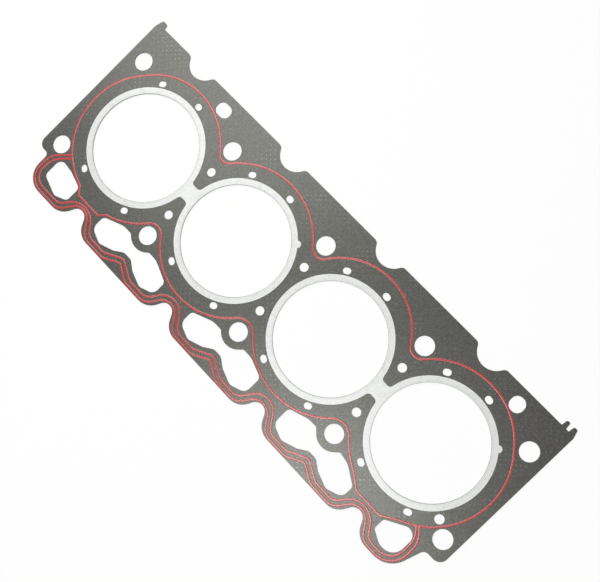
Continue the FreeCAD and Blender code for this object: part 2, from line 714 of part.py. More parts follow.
def bore_armour(doc, name, bore):
    """Sheet-metal armour of two neighbouring bores: lower flange, a wall round each bore, upper flange."""
    body = doc.addObject("PartDesign::Body", name)
    body.Label = name
    lower = sketch_in(body, "lower_flange")
    flange_outline(lower, bore)
    pad(body, lower, "sizes.armour_sheet")
    walls = sketch_in(body, "walls")
    circle(walls, bore_x(bore), "0", WALL_RADIUS)
    circle(walls, bore_x(bore + 1), "0", WALL_RADIUS)
    pad(body, walls, TOTAL)
    upper_level = f"{TOTAL} - sizes.armour_sheet"
    upper = sketch_in(body, "upper_flange", upper_level)
    flange_outline(upper, bore)
    pad(body, upper, "sizes.armour_sheet")
    lug = sketch_in(body, "lug", upper_level)
    lug_reach = f"({FLANGE_RADIUS} - sizes.lug_inset)"
    lug_x = f"{bore_x(bore + 1)} + {lug_reach} * cos(sizes.lug_angle)"
    circle(lug, lug_x, f"{lug_reach} * sin(sizes.lug_angle)", "sizes.lug_radius")
    pad(body, lug, "sizes.armour_sheet")
    openings = sketch_in(body, "openings")
    circle(openings, bore_x(bore), "0", "sizes.bore_opening / 2")
    circle(openings, bore_x(bore + 1), "0", "sizes.bore_opening / 2")
    bored = punch(body, openings)
    doc.recompute()
    nose = body.newObject("PartDesign::Fillet", f"{name}_nose")
    nose.Base = (bored, nose_edges(bored.Shape, body.evalExpression("sizes.bore_opening / 2")))
    nose.setExpression("Radius", "sizes.armour_nose")
    body.Tip = nose
    return body


def rounded_wire(corners, closed):
    """Wire of straight runs and tangent arcs through corners given as X, Y and radius."""
    points = [Vector(x, y, 0) for x, y, radius in corners]
    count = len(points)
    inner = range(count) if closed else range(1, count - 1)
    rounds = [
        fillet_points(points[i - 1], points[i], points[(i + 1) % count], corners[i][2]) for i in inner
    ]
    edges = []
    here = rounds[-1][1] if closed else points[0]
    for i, (start, end, centre) in zip(inner, rounds):
        if (start - here).Length > TOUCHING:
            edges.append(Part.LineSegment(here, start).toShape())
        middle = centre + (points[i] - centre).normalize() * corners[i][2]
        edges.append(Part.Arc(start, middle, end).toShape())
        here = end
    if not closed:
        edges.append(Part.LineSegment(here, points[-1]).toShape())
    return Part.Wire(Part.sortEdges(edges)[0])


def tangent_corners(centre, stations):
    """Corners where neighbouring tangents of a round stretch meet, given its distance at a few angles.

    Each station is an angle in degrees and the distance of the tangent from the centre. Stations at equal
    distances round to one true circle.
    """
    corners = []
    for (first, near), (last, far) in zip(stations, stations[1:]):
        turn = math.radians(last - first)
        along = (far - near * math.cos(turn)) / math.sin(turn)
        back = (near - far * math.cos(turn)) / math.sin(turn)
        start = math.radians(first)
        x = centre.x + near * math.cos(start) - along * math.sin(start)
        y = centre.y + near * math.sin(start) + along * math.cos(start)
        radius = min(abs(along), abs(back)) / math.tan(abs(turn) / 2)
        corners.append((x, y, radius))
    return corners


def flange_radius(size):
    """Outer radius of the armour's flange."""
    return size["bore_opening"] / 2 + size["armour_band"]


def bearing(origin, target):
    """Direction from one point to another, in degrees."""
    return math.degrees(math.atan2(target.y - origin.y, target.x - origin.x))


def bead_arc(size, side, bore):
    """Centre and radius of the main bead's arc above (top) or below (bottom) a bore.

    Its crown stands off from the armour's flange, and the centre is shifted from the bore towards it.
    """
    shift = size[f"bead_{side}_shift_{NUMBERS[bore]}"]
    crown = flange_radius(size) + size[f"bead_{side}_standoff_{NUMBERS[bore]}"]
    up = 1 if side == "top" else -1
    return Vector((bore - 1.5) * size["bore_pitch"], up * shift, 0), crown - shift


def dip_circle(first, second, level, up):
    """Circle that touches two neighbouring bead arcs and reaches a level beside the bolt between them.

    The level is a distance from the bore row, and up is 1 above the row and -1 below it.
    """
    (near, near_radius), (far, far_radius) = first, second
    near_rest = near_radius - level
    far_rest = far_radius - level
    near_base = near_rest ** 2 - near.y ** 2
    far_base = far_rest ** 2 - far.y ** 2
    near_slope = 2 * (near_rest + up * near.y)
    ratio = 2 * (far_rest + up * far.y) / near_slope
    span = far.x - near.x
    excess = span ** 2 - far_base + ratio * near_base
    along = excess / (span + math.sqrt(span ** 2 - (1 - ratio) * excess))
    height = (along ** 2 - near_base) / near_slope
    return Vector(near.x + along, up * height, 0), height - level


def ramp_foot(size, end, centre, reach, side):
    """Corner where the main bead leaves a bore's circle for the ramp to the flat stretch below it."""
    along = size[f"bead_{end}_ramp"]
    leave = math.radians(size[f"bead_{end}_ramp_angle"])
    y = centre.y - (reach - along * math.sin(leave)) / math.cos(leave)
    return [(centre.x + side * along, y, size["bead_corner"])]


def bead_flat(size, end, centre):
    """Ends of the flat stretch below an end bore, the rear one first."""
    half = size[f"bead_{end}_flat_half"]
    level = -size[f"bead_{end}_flat"]
    return [(centre.x + side * half, level, size["bead_corner"]) for side in (1, -1)]


def main_bead_path(size):
    """Centre line of the bead that runs round all four bores, inside the bolts and above the ports."""
    level = size["bolt_row"] - size["bolt_hole"] / 2 - size["bead_bolt_gap"]
    tops = [bead_arc(size, "top", bore) for bore in BORES]
    bottoms = [bead_arc(size, "bottom", bore) for bore in BORES]
    upper = [dip_circle(a, b, level, 1) for a, b in zip(tops, tops[1:])]
    lower = [dip_circle(a, b, level, -1) for a, b in zip(bottoms, bottoms[1:])]
    corner_bolt = math.degrees(math.atan2(size["bolt_row"], size["bore_pitch"] / 2))
    first_bore = Vector(tops[0][0].x, 0, 0)
    last_bore = Vector(tops[3][0].x, 0, 0)
    flange = flange_radius(size)
    front_crown = flange + size["bead_top_standoff_one"]
    rear_crown = flange + size["bead_top_standoff_four"]
    rear = flange + size["bead_rear_standoff"]
    front_leave = size["bead_front_ramp_angle"]
    rear_leave = size["bead_rear_ramp_angle"]
    corners = ramp_foot(size, "front", first_bore, front_crown, -1)
    corners += tangent_corners(first_bore, [
        (270.0 - front_leave, front_crown),
        (size["bead_front_low_angle"], front_crown),
        (size["bead_front_end_angle"], flange + size["bead_front_standoff"]),
        (180.0 - corner_bolt, flange + size["bead_front_bolt_standoff"]),
        (90.0, front_crown),
    ])
    start = 90.0
    for (centre, radius), (dip, dip_radius), (after, _) in zip(tops, upper, tops[1:]):
        end = bearing(centre, dip)
        corners += tangent_corners(centre, [(start, radius), (end, radius)])
        start = bearing(after, dip)
        corners += tangent_corners(dip, [(180.0 + end, dip_radius), (180.0 + start, dip_radius)])
    centre, radius = tops[3]
    corners += tangent_corners(centre, [(start, radius), (90.0, radius)])
    corners += tangent_corners(last_bore, [
        (90.0, rear_crown),
        (corner_bolt, flange + size["bead_rear_bolt_standoff"]),
        (0.0, rear),
        (size["bead_rear_low_angle"], rear),
        (rear_leave - 90.0, rear),
    ])
    centre, radius = bottoms[3]
    corners += ramp_foot(size, "rear", last_bore, rear, 1)
    corners += bead_flat(size, "rear", centre)
    corners += ramp_foot(size, "rear", centre, radius, -1)
    start = -90.0 - rear_leave
    for (centre, radius), (dip, dip_radius), (after, _) in zip(bottoms[:0:-1], lower[::-1], bottoms[2::-1]):
        end = bearing(centre, dip)
        corners += tangent_corners(centre, [(start, radius), (end, radius)])
        start = bearing(after, dip)
        corners += tangent_corners(dip, [(180.0 + end, dip_radius), (180.0 + start, dip_radius)])
    centre, radius = bottoms[0]
    corners += tangent_corners(centre, [(start, radius), (front_leave - 90.0, radius)])
    corners += ramp_foot(size, "front", centre, radius, 1)
    corners += bead_flat(size, "front", centre)
    return rounded_wire(corners, closed=True)


def edge_bead_path(size, name, crests):
    """Centre line of one of the two beads that follow the pushrod edge outside the ports.

    It starts and ends on the main bead and passes below every port and above every scallop. Its flanks
    beside the scallops would all meet at one level, and the crest above each scallop rounds them off.
    """
    pitch = size["bore_pitch"]
    floor = size[f"{name}_floor"]
    root = size[f"{name}_root"]
    hump = size[f"{name}_hump"]
    angle = math.radians(size["edge_bead_angle"])
    foot = (floor - hump) / math.tan(math.radians(size[f"{name}_hump_angle"]))
    ends = []
    for side, end, standoff in ((-1, "front", "bead_top_standoff_one"), (1, "rear", "bead_rear_standoff")):
        reach = flange_radius(size) + size[standoff]
        join = math.radians(size[f"{name}_{end}_join"])
        x = side * (1.5 * pitch + reach * math.cos(join))
        y = -reach * math.sin(join)
        out = side * size[f"{name}_{end}"]
        ends.append([
            (x, y, 0),
            (out, y - abs(out - x), size["bead_turn_corner"]),
            (out, -floor, size[f"{name}_{end}_corner"]),
        ])
    corners = ends[0]
    for bore, crest in zip(BORES, crests):
        x = (bore - 1.5) * pitch
        apex = size[f"{name}_flank"]
        radius = (crest - apex) / (1 / math.cos(angle) - 1)
        half = (floor - apex) / math.tan(angle)
        corners += [(x - half, -floor, root), (x, -apex, radius), (x + half, -floor, root)]
        if bore < 3:
            bolt = x + pitch / 2
            corners += [
                (bolt - foot, -floor, root),
                (bolt, -hump, size[f"{name}_hump_radius"]),
                (bolt + foot, -floor, root),
            ]
    corners += ends[1][::-1]
    return rounded_wire(corners, closed=False)


def bead_band(doc, name, path, closed):
    """Flat band of the bead's width about a centre line."""
    line = doc.addObject("Part::Feature", f"{name}_line")
    line.Shape = path
    source = line
    width = "sizes.bead_width / 2"
    if closed:
        inner = doc.addObject("Part::Offset2D", f"{name}_inner_edge")
        inner.Source = line
        inner.setExpression("Value", "-sizes.bead_width / 2")
        source = inner
        width = "sizes.bead_width"
    band = doc.addObject("Part::Offset2D", f"{name}_band")
    band.Source = source
    band.Fill = True
    band.setExpression("Value", width)
    return band


def seal_bead(doc, name, bands, bottom):
    """Printed bead on one face: the bands raised to the bead's height and joined where they meet."""
    strips = []
    for band in bands:
        strip = doc.addObject("Part::Extrusion", f"{name}_{band.Name}")
        strip.Base = band
        strip.Solid = True
        strip.setExpression("LengthFwd", "sizes.bead_height")
        strip.setExpression("Placement.Base.z", bottom)
        strips.append(strip)
    bead = doc.addObject("Part::MultiFuse", name)
    bead.Shapes = strips
    bead.Label = name
    return bead


def check(doc, nodes):
    """Stop if any object failed to build or any piece isn't one valid solid shape."""
    for item in doc.Objects:
        if "Invalid" in item.State or "Error" in item.State:
            raise RuntimeError(f"{item.Name} failed: {item.State}")
    for node in nodes:
        if node.Shape.isNull() or not node.Shape.isValid() or len(node.Shape.Solids) != 1:
            raise RuntimeError(f"{node.Label} is not one valid solid")


def main():
    """Build the document and write one STEP file for each piece."""
    doc = FreeCAD.newDocument("head_gasket")
    sheet = make_sheet(doc)
    stack = die_cut_stack(doc)
    core_bottom = "sizes.armour_sheet + sizes.facing_thickness"
    top_bottom = f"{core_bottom} + sizes.core_thickness"
    nodes = [
        layer(doc, stack, "facing_bottom", "sizes.armour_sheet", "sizes.facing_thickness"),
        layer(doc, stack, "core_plate", core_bottom, "sizes.core_thickness"),
        layer(doc, stack, "facing_top", top_bottom, "sizes.facing_thickness"),
        bore_armour(doc, "bore_armour_front", 0),
        bore_armour(doc, "bore_armour_rear", 2),
    ]
    size = {alias: float(sheet.get(alias)) for alias in SIZES}
    outer_crests = [size["outer_bead_crest"]] * len(BORES)
    inner_crests = [size[f"inner_bead_crest_{bore}"] for bore in NUMBERS]
    bands = [
        bead_band(doc, "main_bead", main_bead_path(size), closed=True),
        bead_band(doc, "outer_bead", edge_bead_path(size, "outer_bead", outer_crests), closed=False),
        bead_band(doc, "inner_bead", edge_bead_path(size, "inner_bead", inner_crests), closed=False),
    ]
    nodes.append(seal_bead(doc, "seal_bead_top", bands, f"{TOTAL} - sizes.armour_sheet"))
    nodes.append(seal_bead(doc, "seal_bead_bottom", bands, "sizes.armour_sheet - sizes.bead_height"))
    doc.recompute()
    check(doc, nodes)
    os.makedirs("parts", exist_ok=True)
    for node in nodes:
        node.Shape.exportStep(f"parts/{node.Label}.step")


main()
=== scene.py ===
"""Dresses the head gasket: fibre facings, a steel core, steel bore armour and silicone beads."""

import enum
import logging
import math
from dataclasses import dataclass, field
from typing import Any

import bmesh
import bpy
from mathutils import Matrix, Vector

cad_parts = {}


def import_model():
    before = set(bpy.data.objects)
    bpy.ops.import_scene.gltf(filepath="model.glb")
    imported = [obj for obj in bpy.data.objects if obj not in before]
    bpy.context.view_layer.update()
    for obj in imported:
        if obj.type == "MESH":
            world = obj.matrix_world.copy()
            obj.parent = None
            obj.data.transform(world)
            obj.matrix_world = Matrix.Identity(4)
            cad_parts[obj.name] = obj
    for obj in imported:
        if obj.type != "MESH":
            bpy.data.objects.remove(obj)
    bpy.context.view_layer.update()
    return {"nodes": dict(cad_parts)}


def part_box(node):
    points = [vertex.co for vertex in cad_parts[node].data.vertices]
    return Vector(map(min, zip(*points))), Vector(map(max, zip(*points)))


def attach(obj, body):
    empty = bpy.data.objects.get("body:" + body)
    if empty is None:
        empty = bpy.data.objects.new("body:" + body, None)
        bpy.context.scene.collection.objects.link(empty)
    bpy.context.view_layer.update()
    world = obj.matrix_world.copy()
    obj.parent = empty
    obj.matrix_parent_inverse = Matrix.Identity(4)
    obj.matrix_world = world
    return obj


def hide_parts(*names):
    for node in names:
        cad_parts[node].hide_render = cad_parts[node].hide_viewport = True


LOG = logging.getLogger("head_gasket")

MM = 0.001
WHITE = "#ffffff"

# Sockets of a Mix node that blends colours: its share, its two colours, and its output.
SHARE, FIRST, SECOND = 0, 6, 7
BLEND = 2


class Side(enum.Enum):
    """Face of the gasket that a piece lies on, with the direction its outer surface points in."""

    HEAD = 1.0
    BLOCK = -1.0


def linear(hex_colour: str) -> tuple[float, float, float, float]:
    """Turns an sRGB hex colour into linear red, green, blue and full opacity.

    Args:
        hex_colour: Six hexadecimal digits with a leading hash sign.

    Returns:
        Linear colour as Blender's sockets take it.
    """
    channels = []
    for start in (1, 3, 5):
        value = int(hex_colour[start:start + 2], 16) / 255
        channels.append(value / 12.92 if value <= 0.04045 else ((value + 0.055) / 1.055) ** 2.4)
    return channels[0], channels[1], channels[2], 1.0


def per_size(millimetres: float) -> float:
    """Texture scale at which one cell of a pattern measures this many millimetres."""
    return 1.0 / (millimetres * MM)


def add_node(
    tree: bpy.types.NodeTree, kind: str, inputs: dict[str | int, Any] | None = None, **settings: Any
) -> bpy.types.Node:
    """Adds one node with its settings, its socket values and its links.

    Args:
        tree: Node tree of a material or the world.
        kind: Blender's identifier of the node.
        inputs: Values by socket name or index; a value that is an output socket is linked.
        **settings: Properties of the node itself.

    Returns:
        The new node.
    """
    node = tree.nodes.new(kind)
    for name, value in settings.items():
        setattr(node, name, value)
    for key, value in (inputs or {}).items():
        if isinstance(value, bpy.types.NodeSocket):
            tree.links.new(value, node.inputs[key])
        else:
            node.inputs[key].default_value = value
    return node


def new_material(name: str) -> tuple[bpy.types.Material, bpy.types.NodeTree]:
    """Makes a material with an empty node tree.

    Args:
        name: Name of the finish.

    Returns:
        The material and its tree.
    """
    material = bpy.data.materials.new(name)
    material.use_nodes = True
    material.node_tree.nodes.clear()
    return material, material.node_tree


@dataclass(frozen=True)
class FibreFacing:
    """Nitrile-bound aramid fibre sheet, rolled on to a tanged core and coated with graphite.

    The eye sees a warm charcoal sheet with a soft sheen, fine pale fibre ends, and faint rows of
    pimples where the tangs of the core press through; their paler colour is partly a painted
    highlight. Its stamped edge is dark.

    A span holds the two values of a pattern between which a thing fades in, and an amount how
    much of it shows at either end.
    """

    sheet: str = "#1d1b19"
    worn: str = "#262422"
    blotch_mm: float = 14.0
    blotch_detail: float = 3.0
    blotch_grit: float = 0.6

    fibre: str = "#504d4b"
    # Fibres are about 0.1 mm wide, too fine to show from here, so they are drawn this coarse.
    fibre_mm: float = 0.9
    fibre_detail: float = 4.0
    fibre_grit: float = 0.65
    fibre_curl: float = 0.8
    fibre_span: tuple[float, float] = (0.52, 0.78)
    fibre_amount: float = 0.4

    # Pimples are drawn paler than the sheet, partly as a painted highlight where they catch light.
    pimple_with_painted_highlight: str = "#363431"
    # The tangs stand in rows that run askew to the gasket's length.
    tang_row_degrees: float = 45.0
    tang_pitch_mm: float = 3.0
    tang_mm: float = 0.5
    # Share of a tang's radius over which it is at its palest.
    tang_flat: float = 0.4
    # Only some tangs press through far enough to show.
    press_mm: float = 16.0
    press_detail: float = 2.0
    press_span: tuple[float, float] = (0.48, 0.66)
    press_amount: tuple[float, float] = (0.03, 0.85)

    cut_edge: str = "#1d1c1b"
    # Upright share of a face's direction, from the stamped edge to the flat of the sheet.
    edge_span: tuple[float, float] = (0.3, 0.7)

    roughness: tuple[float, float] = (0.26, 0.35)
    specular: float = 0.7
    pimple_specular: float = 1.45
    sheen_tint: str = "#fcfdf3"
    sheen_span: tuple[float, float] = (0.3, 0.7)
    sheen_amount: tuple[float, float] = (0.7, 1.3)
    relief: float = 0.6
    relief_mm: float = 0.01

    def material(self) -> bpy.types.Material:
        """Builds the finish.

        Returns:
            The material.
        """
        material, tree = new_material("graphited_fibre_facing")
        place = add_node(tree, "ShaderNodeTexCoord").outputs["Object"]
        blotch = add_node(tree, "ShaderNodeTexNoise", {
            "Vector": place,
            "Scale": per_size(self.blotch_mm),
            "Detail": self.blotch_detail,
            "Roughness": self.blotch_grit,
        })
        sheet = add_node(tree, "ShaderNodeMix", {
            SHARE: blotch.outputs[0], FIRST: linear(self.sheet), SECOND: linear(self.worn),
        }, data_type="RGBA")
        fibre = add_node(tree, "ShaderNodeTexNoise", {
            "Vector": place,
            "Scale": per_size(self.fibre_mm),
            "Detail": self.fibre_detail,
            "Roughness": self.fibre_grit,
            "Distortion": self.fibre_curl,
        })
        fibre_end = add_node(tree, "ShaderNodeMapRange", {
            "Value": fibre.outputs[0],
            "From Min": self.fibre_span[0], "From Max": self.fibre_span[1],
            "To Min": 0.0, "To Max": self.fibre_amount,
        })
        flecked = add_node(tree, "ShaderNodeMix", {
            SHARE: fibre_end.outputs[0], FIRST: sheet.outputs[BLEND], SECOND: linear(self.fibre),
        }, data_type="RGBA")
        turned = add_node(tree, "ShaderNodeMapping", {
            "Vector": place, "Rotation": (0.0, 0.0, math.radians(self.tang_row_degrees)),
        })
        tang_row = add_node(tree, "ShaderNodeTexVoronoi", {
            "Vector": turned.outputs[0], "Scale": per_size(self.tang_pitch_mm), "Randomness": 0.0,
        }, voronoi_dimensions="2D")
        reach = self.tang_mm / self.tang_pitch_mm
        tang = add_node(tree, "ShaderNodeMapRange", {
            "Value": tang_row.outputs["Distance"],
            "From Min": self.tang_flat * reach, "From Max": reach,
            "To Min": 1.0, "To Max": 0.0,
        }, interpolation_type="SMOOTHSTEP")
        pressed = add_node(tree, "ShaderNodeTexNoise", {
            "Vector": place, "Scale": per_size(self.press_mm), "Detail": self.press_detail,
        })
        shows = add_node(tree, "ShaderNodeMapRange", {
            "Value": pressed.outputs[0],
            "From Min": self.press_span[0], "From Max": self.press_span[1],
            "To Min": self.press_amount[0], "To Max": self.press_amount[1],
        })
        pimple_with_painted_highlight = add_node(tree, "ShaderNodeMath", {
            0: tang.outputs[0], 1: shows.outputs[0],
        }, operation="MULTIPLY")
        # Mixes in the pimples' paler colour, which is partly a painted highlight.
        dotted_with_painted_highlight = add_node(tree, "ShaderNodeMix", {
            SHARE: pimple_with_painted_highlight.outputs[0], FIRST: flecked.outputs[BLEND], SECOND: linear(self.pimple_with_painted_highlight),
        }, data_type="RGBA")
        # The rolls burnish a pimple, so it shines more than the sheet round it.
        shine = add_node(tree, "ShaderNodeMapRange", {
            "Value": pimple_with_painted_highlight.outputs[0], "To Min": self.specular, "To Max": self.pimple_specular,
        })
        # They burnish the fibre ends a little too, which gives the sheen its grain.
        grain = add_node(tree, "ShaderNodeMapRange", {
            "Value": fibre.outputs[0],
            "From Min": self.sheen_span[0], "From Max": self.sheen_span[1],
            "To Min": self.sheen_amount[0], "To Max": self.sheen_amount[1],
        })
        sheen = add_node(tree, "ShaderNodeMath", {
            0: shine.outputs[0], 1: grain.outputs[0],
        }, operation="MULTIPLY")
        facing_way = add_node(tree, "ShaderNodeSeparateXYZ", {
            0: add_node(tree, "ShaderNodeNewGeometry").outputs["Normal"],
        })
        upright = add_node(tree, "ShaderNodeMath", {
            0: facing_way.outputs["Z"],
        }, operation="ABSOLUTE")
        flat = add_node(tree, "ShaderNodeMapRange", {
            "Value": upright.outputs[0],
            "From Min": self.edge_span[0], "From Max": self.edge_span[1],
        })
        colour = add_node(tree, "ShaderNodeMix", {
            SHARE: flat.outputs[0], FIRST: linear(self.cut_edge), SECOND: dotted_with_painted_highlight.outputs[BLEND],
        }, data_type="RGBA")
        roughness = add_node(tree, "ShaderNodeMapRange", {
            "Value": fibre.outputs[0],
            "To Min": self.roughness[0], "To Max": self.roughness[1],
        })
        height = add_node(tree, "ShaderNodeMath", {
            0: pimple_with_painted_highlight.outputs[0], 1: fibre.outputs[0],
        }, operation="ADD")
        bump = add_node(tree, "ShaderNodeBump", {
            "Height": height.outputs[0],
            "Strength": self.relief,
            "Distance": self.relief_mm * MM,
        })
        coated = add_node(tree, "ShaderNodeBsdfPrincipled", {
            "Base Color": colour.outputs[BLEND],
            "Roughness": roughness.outputs[0],
            "Specular IOR Level": sheen.outputs[0],
            "Specular Tint": linear(self.sheen_tint),
            "Normal": bump.outputs[0],
        })
        add_node(tree, "ShaderNodeOutputMaterial", {"Surface": coated.outputs[0]})
        return material


@dataclass(frozen=True)
class ShearedCore:
    """Low-carbon steel sheet whose stamped edge alone shows between the facings.

    The eye sees a bright burnished line above a duller torn one, with fine upright shear marks.
    """

    burnished: str = "#6f7173"
    torn: str = "#424344"
    # Share of the sheet's thickness between which the torn edge gives way to the burnished one.
    burnish_span: tuple[float, float] = (0.55, 0.7)
    # Shear marks are a few hundredths of a millimetre wide and are drawn this coarse to show.
    mark_mm: float = 0.35
    mark_detail: float = 3.0
    # Upright scale of the marks, which draws them out into lines.
    mark_upright: float = 0.05
    roughness: tuple[float, float] = (0.4, 0.66)
    relief: float = 0.5
    relief_mm: float = 0.015

    def material(self, low: float, high: float) -> bpy.types.Material:
        """Builds the finish.

        Args:
            low: Level of the sheet's lower face, in metres.
            high: Level of its upper face, in metres.

        Returns:
            The material.
        """
        material, tree = new_material("sheared_steel_core")
        place = add_node(tree, "ShaderNodeTexCoord").outputs["Object"]
        upright = add_node(tree, "ShaderNodeMapping", {
            "Vector": place, "Scale": (1.0, 1.0, self.mark_upright),
        })
        marks = add_node(tree, "ShaderNodeTexNoise", {
            "Vector": upright.outputs[0],
            "Scale": per_size(self.mark_mm),
            "Detail": self.mark_detail,
        })
        level = add_node(tree, "ShaderNodeSeparateXYZ", {0: place})
        sheared = add_node(tree, "ShaderNodeMapRange", {
            "Value": level.outputs["Z"],
            "From Min": low + self.burnish_span[0] * (high - low),
            "From Max": low + self.burnish_span[1] * (high - low),
        })
        colour = add_node(tree, "ShaderNodeMix", {
            SHARE: sheared.outputs[0], FIRST: linear(self.torn), SECOND: linear(self.burnished),
        }, data_type="RGBA")
        roughness = add_node(tree, "ShaderNodeMapRange", {
            "Value": marks.outputs[0],
            "To Min": self.roughness[0], "To Max": self.roughness[1],
        })
        bump = add_node(tree, "ShaderNodeBump", {
            "Height": marks.outputs[0],
            "Strength": self.relief,
            "Distance": self.relief_mm * MM,
        })
        steel = add_node(tree, "ShaderNodeBsdfPrincipled", {
            "Base Color": colour.outputs[BLEND],
            "Metallic": 1.0,
            "Roughness": roughness.outputs[0],
            "Normal": bump.outputs[0],
        })
        add_node(tree, "ShaderNodeOutputMaterial", {"Surface": steel.outputs[0]})
        return material


@dataclass(frozen=True)
class FoldedArmour:
    """Bright stainless strip, folded over the bore edge, ironed flat and filmed against sticking.

    The eye sees a near-white satin metal with faint rings round the bore where the fold was
    ironed, and a few grey scuffs. The darker rings and the thin grey line along the nose of the
    fold are painted shade, standing in for the shade of the creases and the rolled nose.
    """

    bore_pitch_mm: float = 88.0
    # Colours of the strip by distance from the bore's axis, in millimetres; the darker stops are
    #     # painted shade lines along the fold's rolled nose and its creases.
    steel_and_painted_shade_rings: tuple[tuple[float, str], ...] = (
        (36.5, "#9b9d9b"),
        (36.75, "#a8aaa7"),
        (37.0, "#b0b2b0"),
        (37.35, "#b0b2b0"),
        (37.55, "#a4a6a5"),
        (37.8, "#b1b3b1"),
        (39.1, "#b2b4b1"),
        (39.35, "#acaeac"),
        (39.6, "#b3b4b2"),
        (40.8, "#b4b5b2"),
    )

    scuff: str = "#8a8c8b"
    scuff_mm: float = 2.5
    scuff_detail: float = 5.0
    scuff_grit: float = 0.7
    scuff_curl: float = 1.2
    # Values of the pattern between which a scuff fades in, and how much of it shows at most.
    scuff_span: tuple[float, float] = (0.52, 0.78)
    scuff_amount: float = 0.45

    # Ironing marks are some 0.1 mm apart and are drawn this coarse to show.
    ironing_mm: float = 0.5
    ironing_detail: float = 2.0
    ironing_grit: float = 0.6
    # Share of the relief that the ironing makes; the rings make the rest.
    ironing_share: float = 0.35

    roughness: tuple[float, float] = (0.62, 0.8)
    film: float = 1.0
    film_roughness: float = 0.3
    film_ior: float = 1.6
    relief: float = 0.5
    relief_mm: float = 0.02

    def material(self) -> bpy.types.Material:
        """Builds the finish.

        Returns:
            The material.
        """
        material, tree = new_material("bright_folded_steel")
        place = add_node(tree, "ShaderNodeTexCoord").outputs["Object"]
        axes = add_node(tree, "ShaderNodeSeparateXYZ", {0: place})
        pitch = self.bore_pitch_mm * MM
        folded = add_node(tree, "ShaderNodeMath", {
            0: axes.outputs["X"], 1: pitch,
        }, operation="FLOORED_MODULO")
        along = add_node(tree, "ShaderNodeMath", {
            0: folded.outputs[0], 1: pitch / 2,
        }, operation="SUBTRACT")
        from_axis = add_node(tree, "ShaderNodeCombineXYZ", {
            "X": along.outputs[0], "Y": axes.outputs["Y"],
        })
        radius = add_node(tree, "ShaderNodeVectorMath", {
            0: from_axis.outputs[0],
        }, operation="LENGTH")
        nearest, farthest = self.steel_and_painted_shade_rings[0][0], self.steel_and_painted_shade_rings[-1][0]
        share = add_node(tree, "ShaderNodeMapRange", {
            "Value": radius.outputs["Value"],
            "From Min": nearest * MM, "From Max": farthest * MM,
        })
        # The ramp paints shade lines for the fold's nose and creases into the steel's own colour.
        steel_with_painted_shade = add_node(tree, "ShaderNodeValToRGB", {"Fac": share.outputs[0]})
        stops = steel_with_painted_shade.color_ramp.elements
        while len(stops) < len(self.steel_and_painted_shade_rings):
            stops.new(0.5)
        for stop, (distance, _) in zip(stops, self.steel_and_painted_shade_rings):
            stop.position = (distance - nearest) / (farthest - nearest)
        for stop, (_, colour) in zip(stops, self.steel_and_painted_shade_rings):
            stop.color = linear(colour)
        scuffs = add_node(tree, "ShaderNodeTexNoise", {
            "Vector": place,
            "Scale": per_size(self.scuff_mm),
            "Detail": self.scuff_detail,
            "Roughness": self.scuff_grit,
            "Distortion": self.scuff_curl,
        })
        scuffed = add_node(tree, "ShaderNodeMapRange", {
            "Value": scuffs.outputs[0],
            "From Min": self.scuff_span[0], "From Max": self.scuff_span[1],
            "To Min": 0.0, "To Max": self.scuff_amount,
        })
        worn = add_node(tree, "ShaderNodeMix", {
            SHARE: scuffed.outputs[0], FIRST: steel_with_painted_shade.outputs["Color"], SECOND: linear(self.scuff),
        }, data_type="RGBA")
        turns = add_node(tree, "ShaderNodeMath", {
            0: radius.outputs["Value"], 1: per_size(self.ironing_mm),
        }, operation="MULTIPLY")
        ironing = add_node(tree, "ShaderNodeTexNoise", {
            "W": turns.outputs[0],
            "Scale": 1.0,
            "Detail": self.ironing_detail,
            "Roughness": self.ironing_grit,
        }, noise_dimensions="1D")
        roughness = add_node(tree, "ShaderNodeMapRange", {
            "Value": scuffs.outputs[0],
            "To Min": self.roughness[0], "To Max": self.roughness[1],
        })
        creased = add_node(tree, "ShaderNodeMix", {
            SHARE: self.ironing_share,
            FIRST: steel_with_painted_shade.outputs["Color"],
            SECOND: ironing.outputs["Color"],
        }, data_type="RGBA")
        bump = add_node(tree, "ShaderNodeBump", {
            "Height": creased.outputs[BLEND],
            "Strength": self.relief,
            "Distance": self.relief_mm * MM,
        })
        filmed = add_node(tree, "ShaderNodeBsdfPrincipled", {
            "Base Color": worn.outputs[BLEND],
            "Metallic": 1.0,
            "Roughness": roughness.outputs[0],
            "Coat Weight": self.film,
            "Coat Roughness": self.film_roughness,
            "Coat IOR": self.film_ior,
            "Normal": bump.outputs[0],
        })
        add_node(tree, "ShaderNodeOutputMaterial", {"Surface": filmed.outputs[0]})
        return material


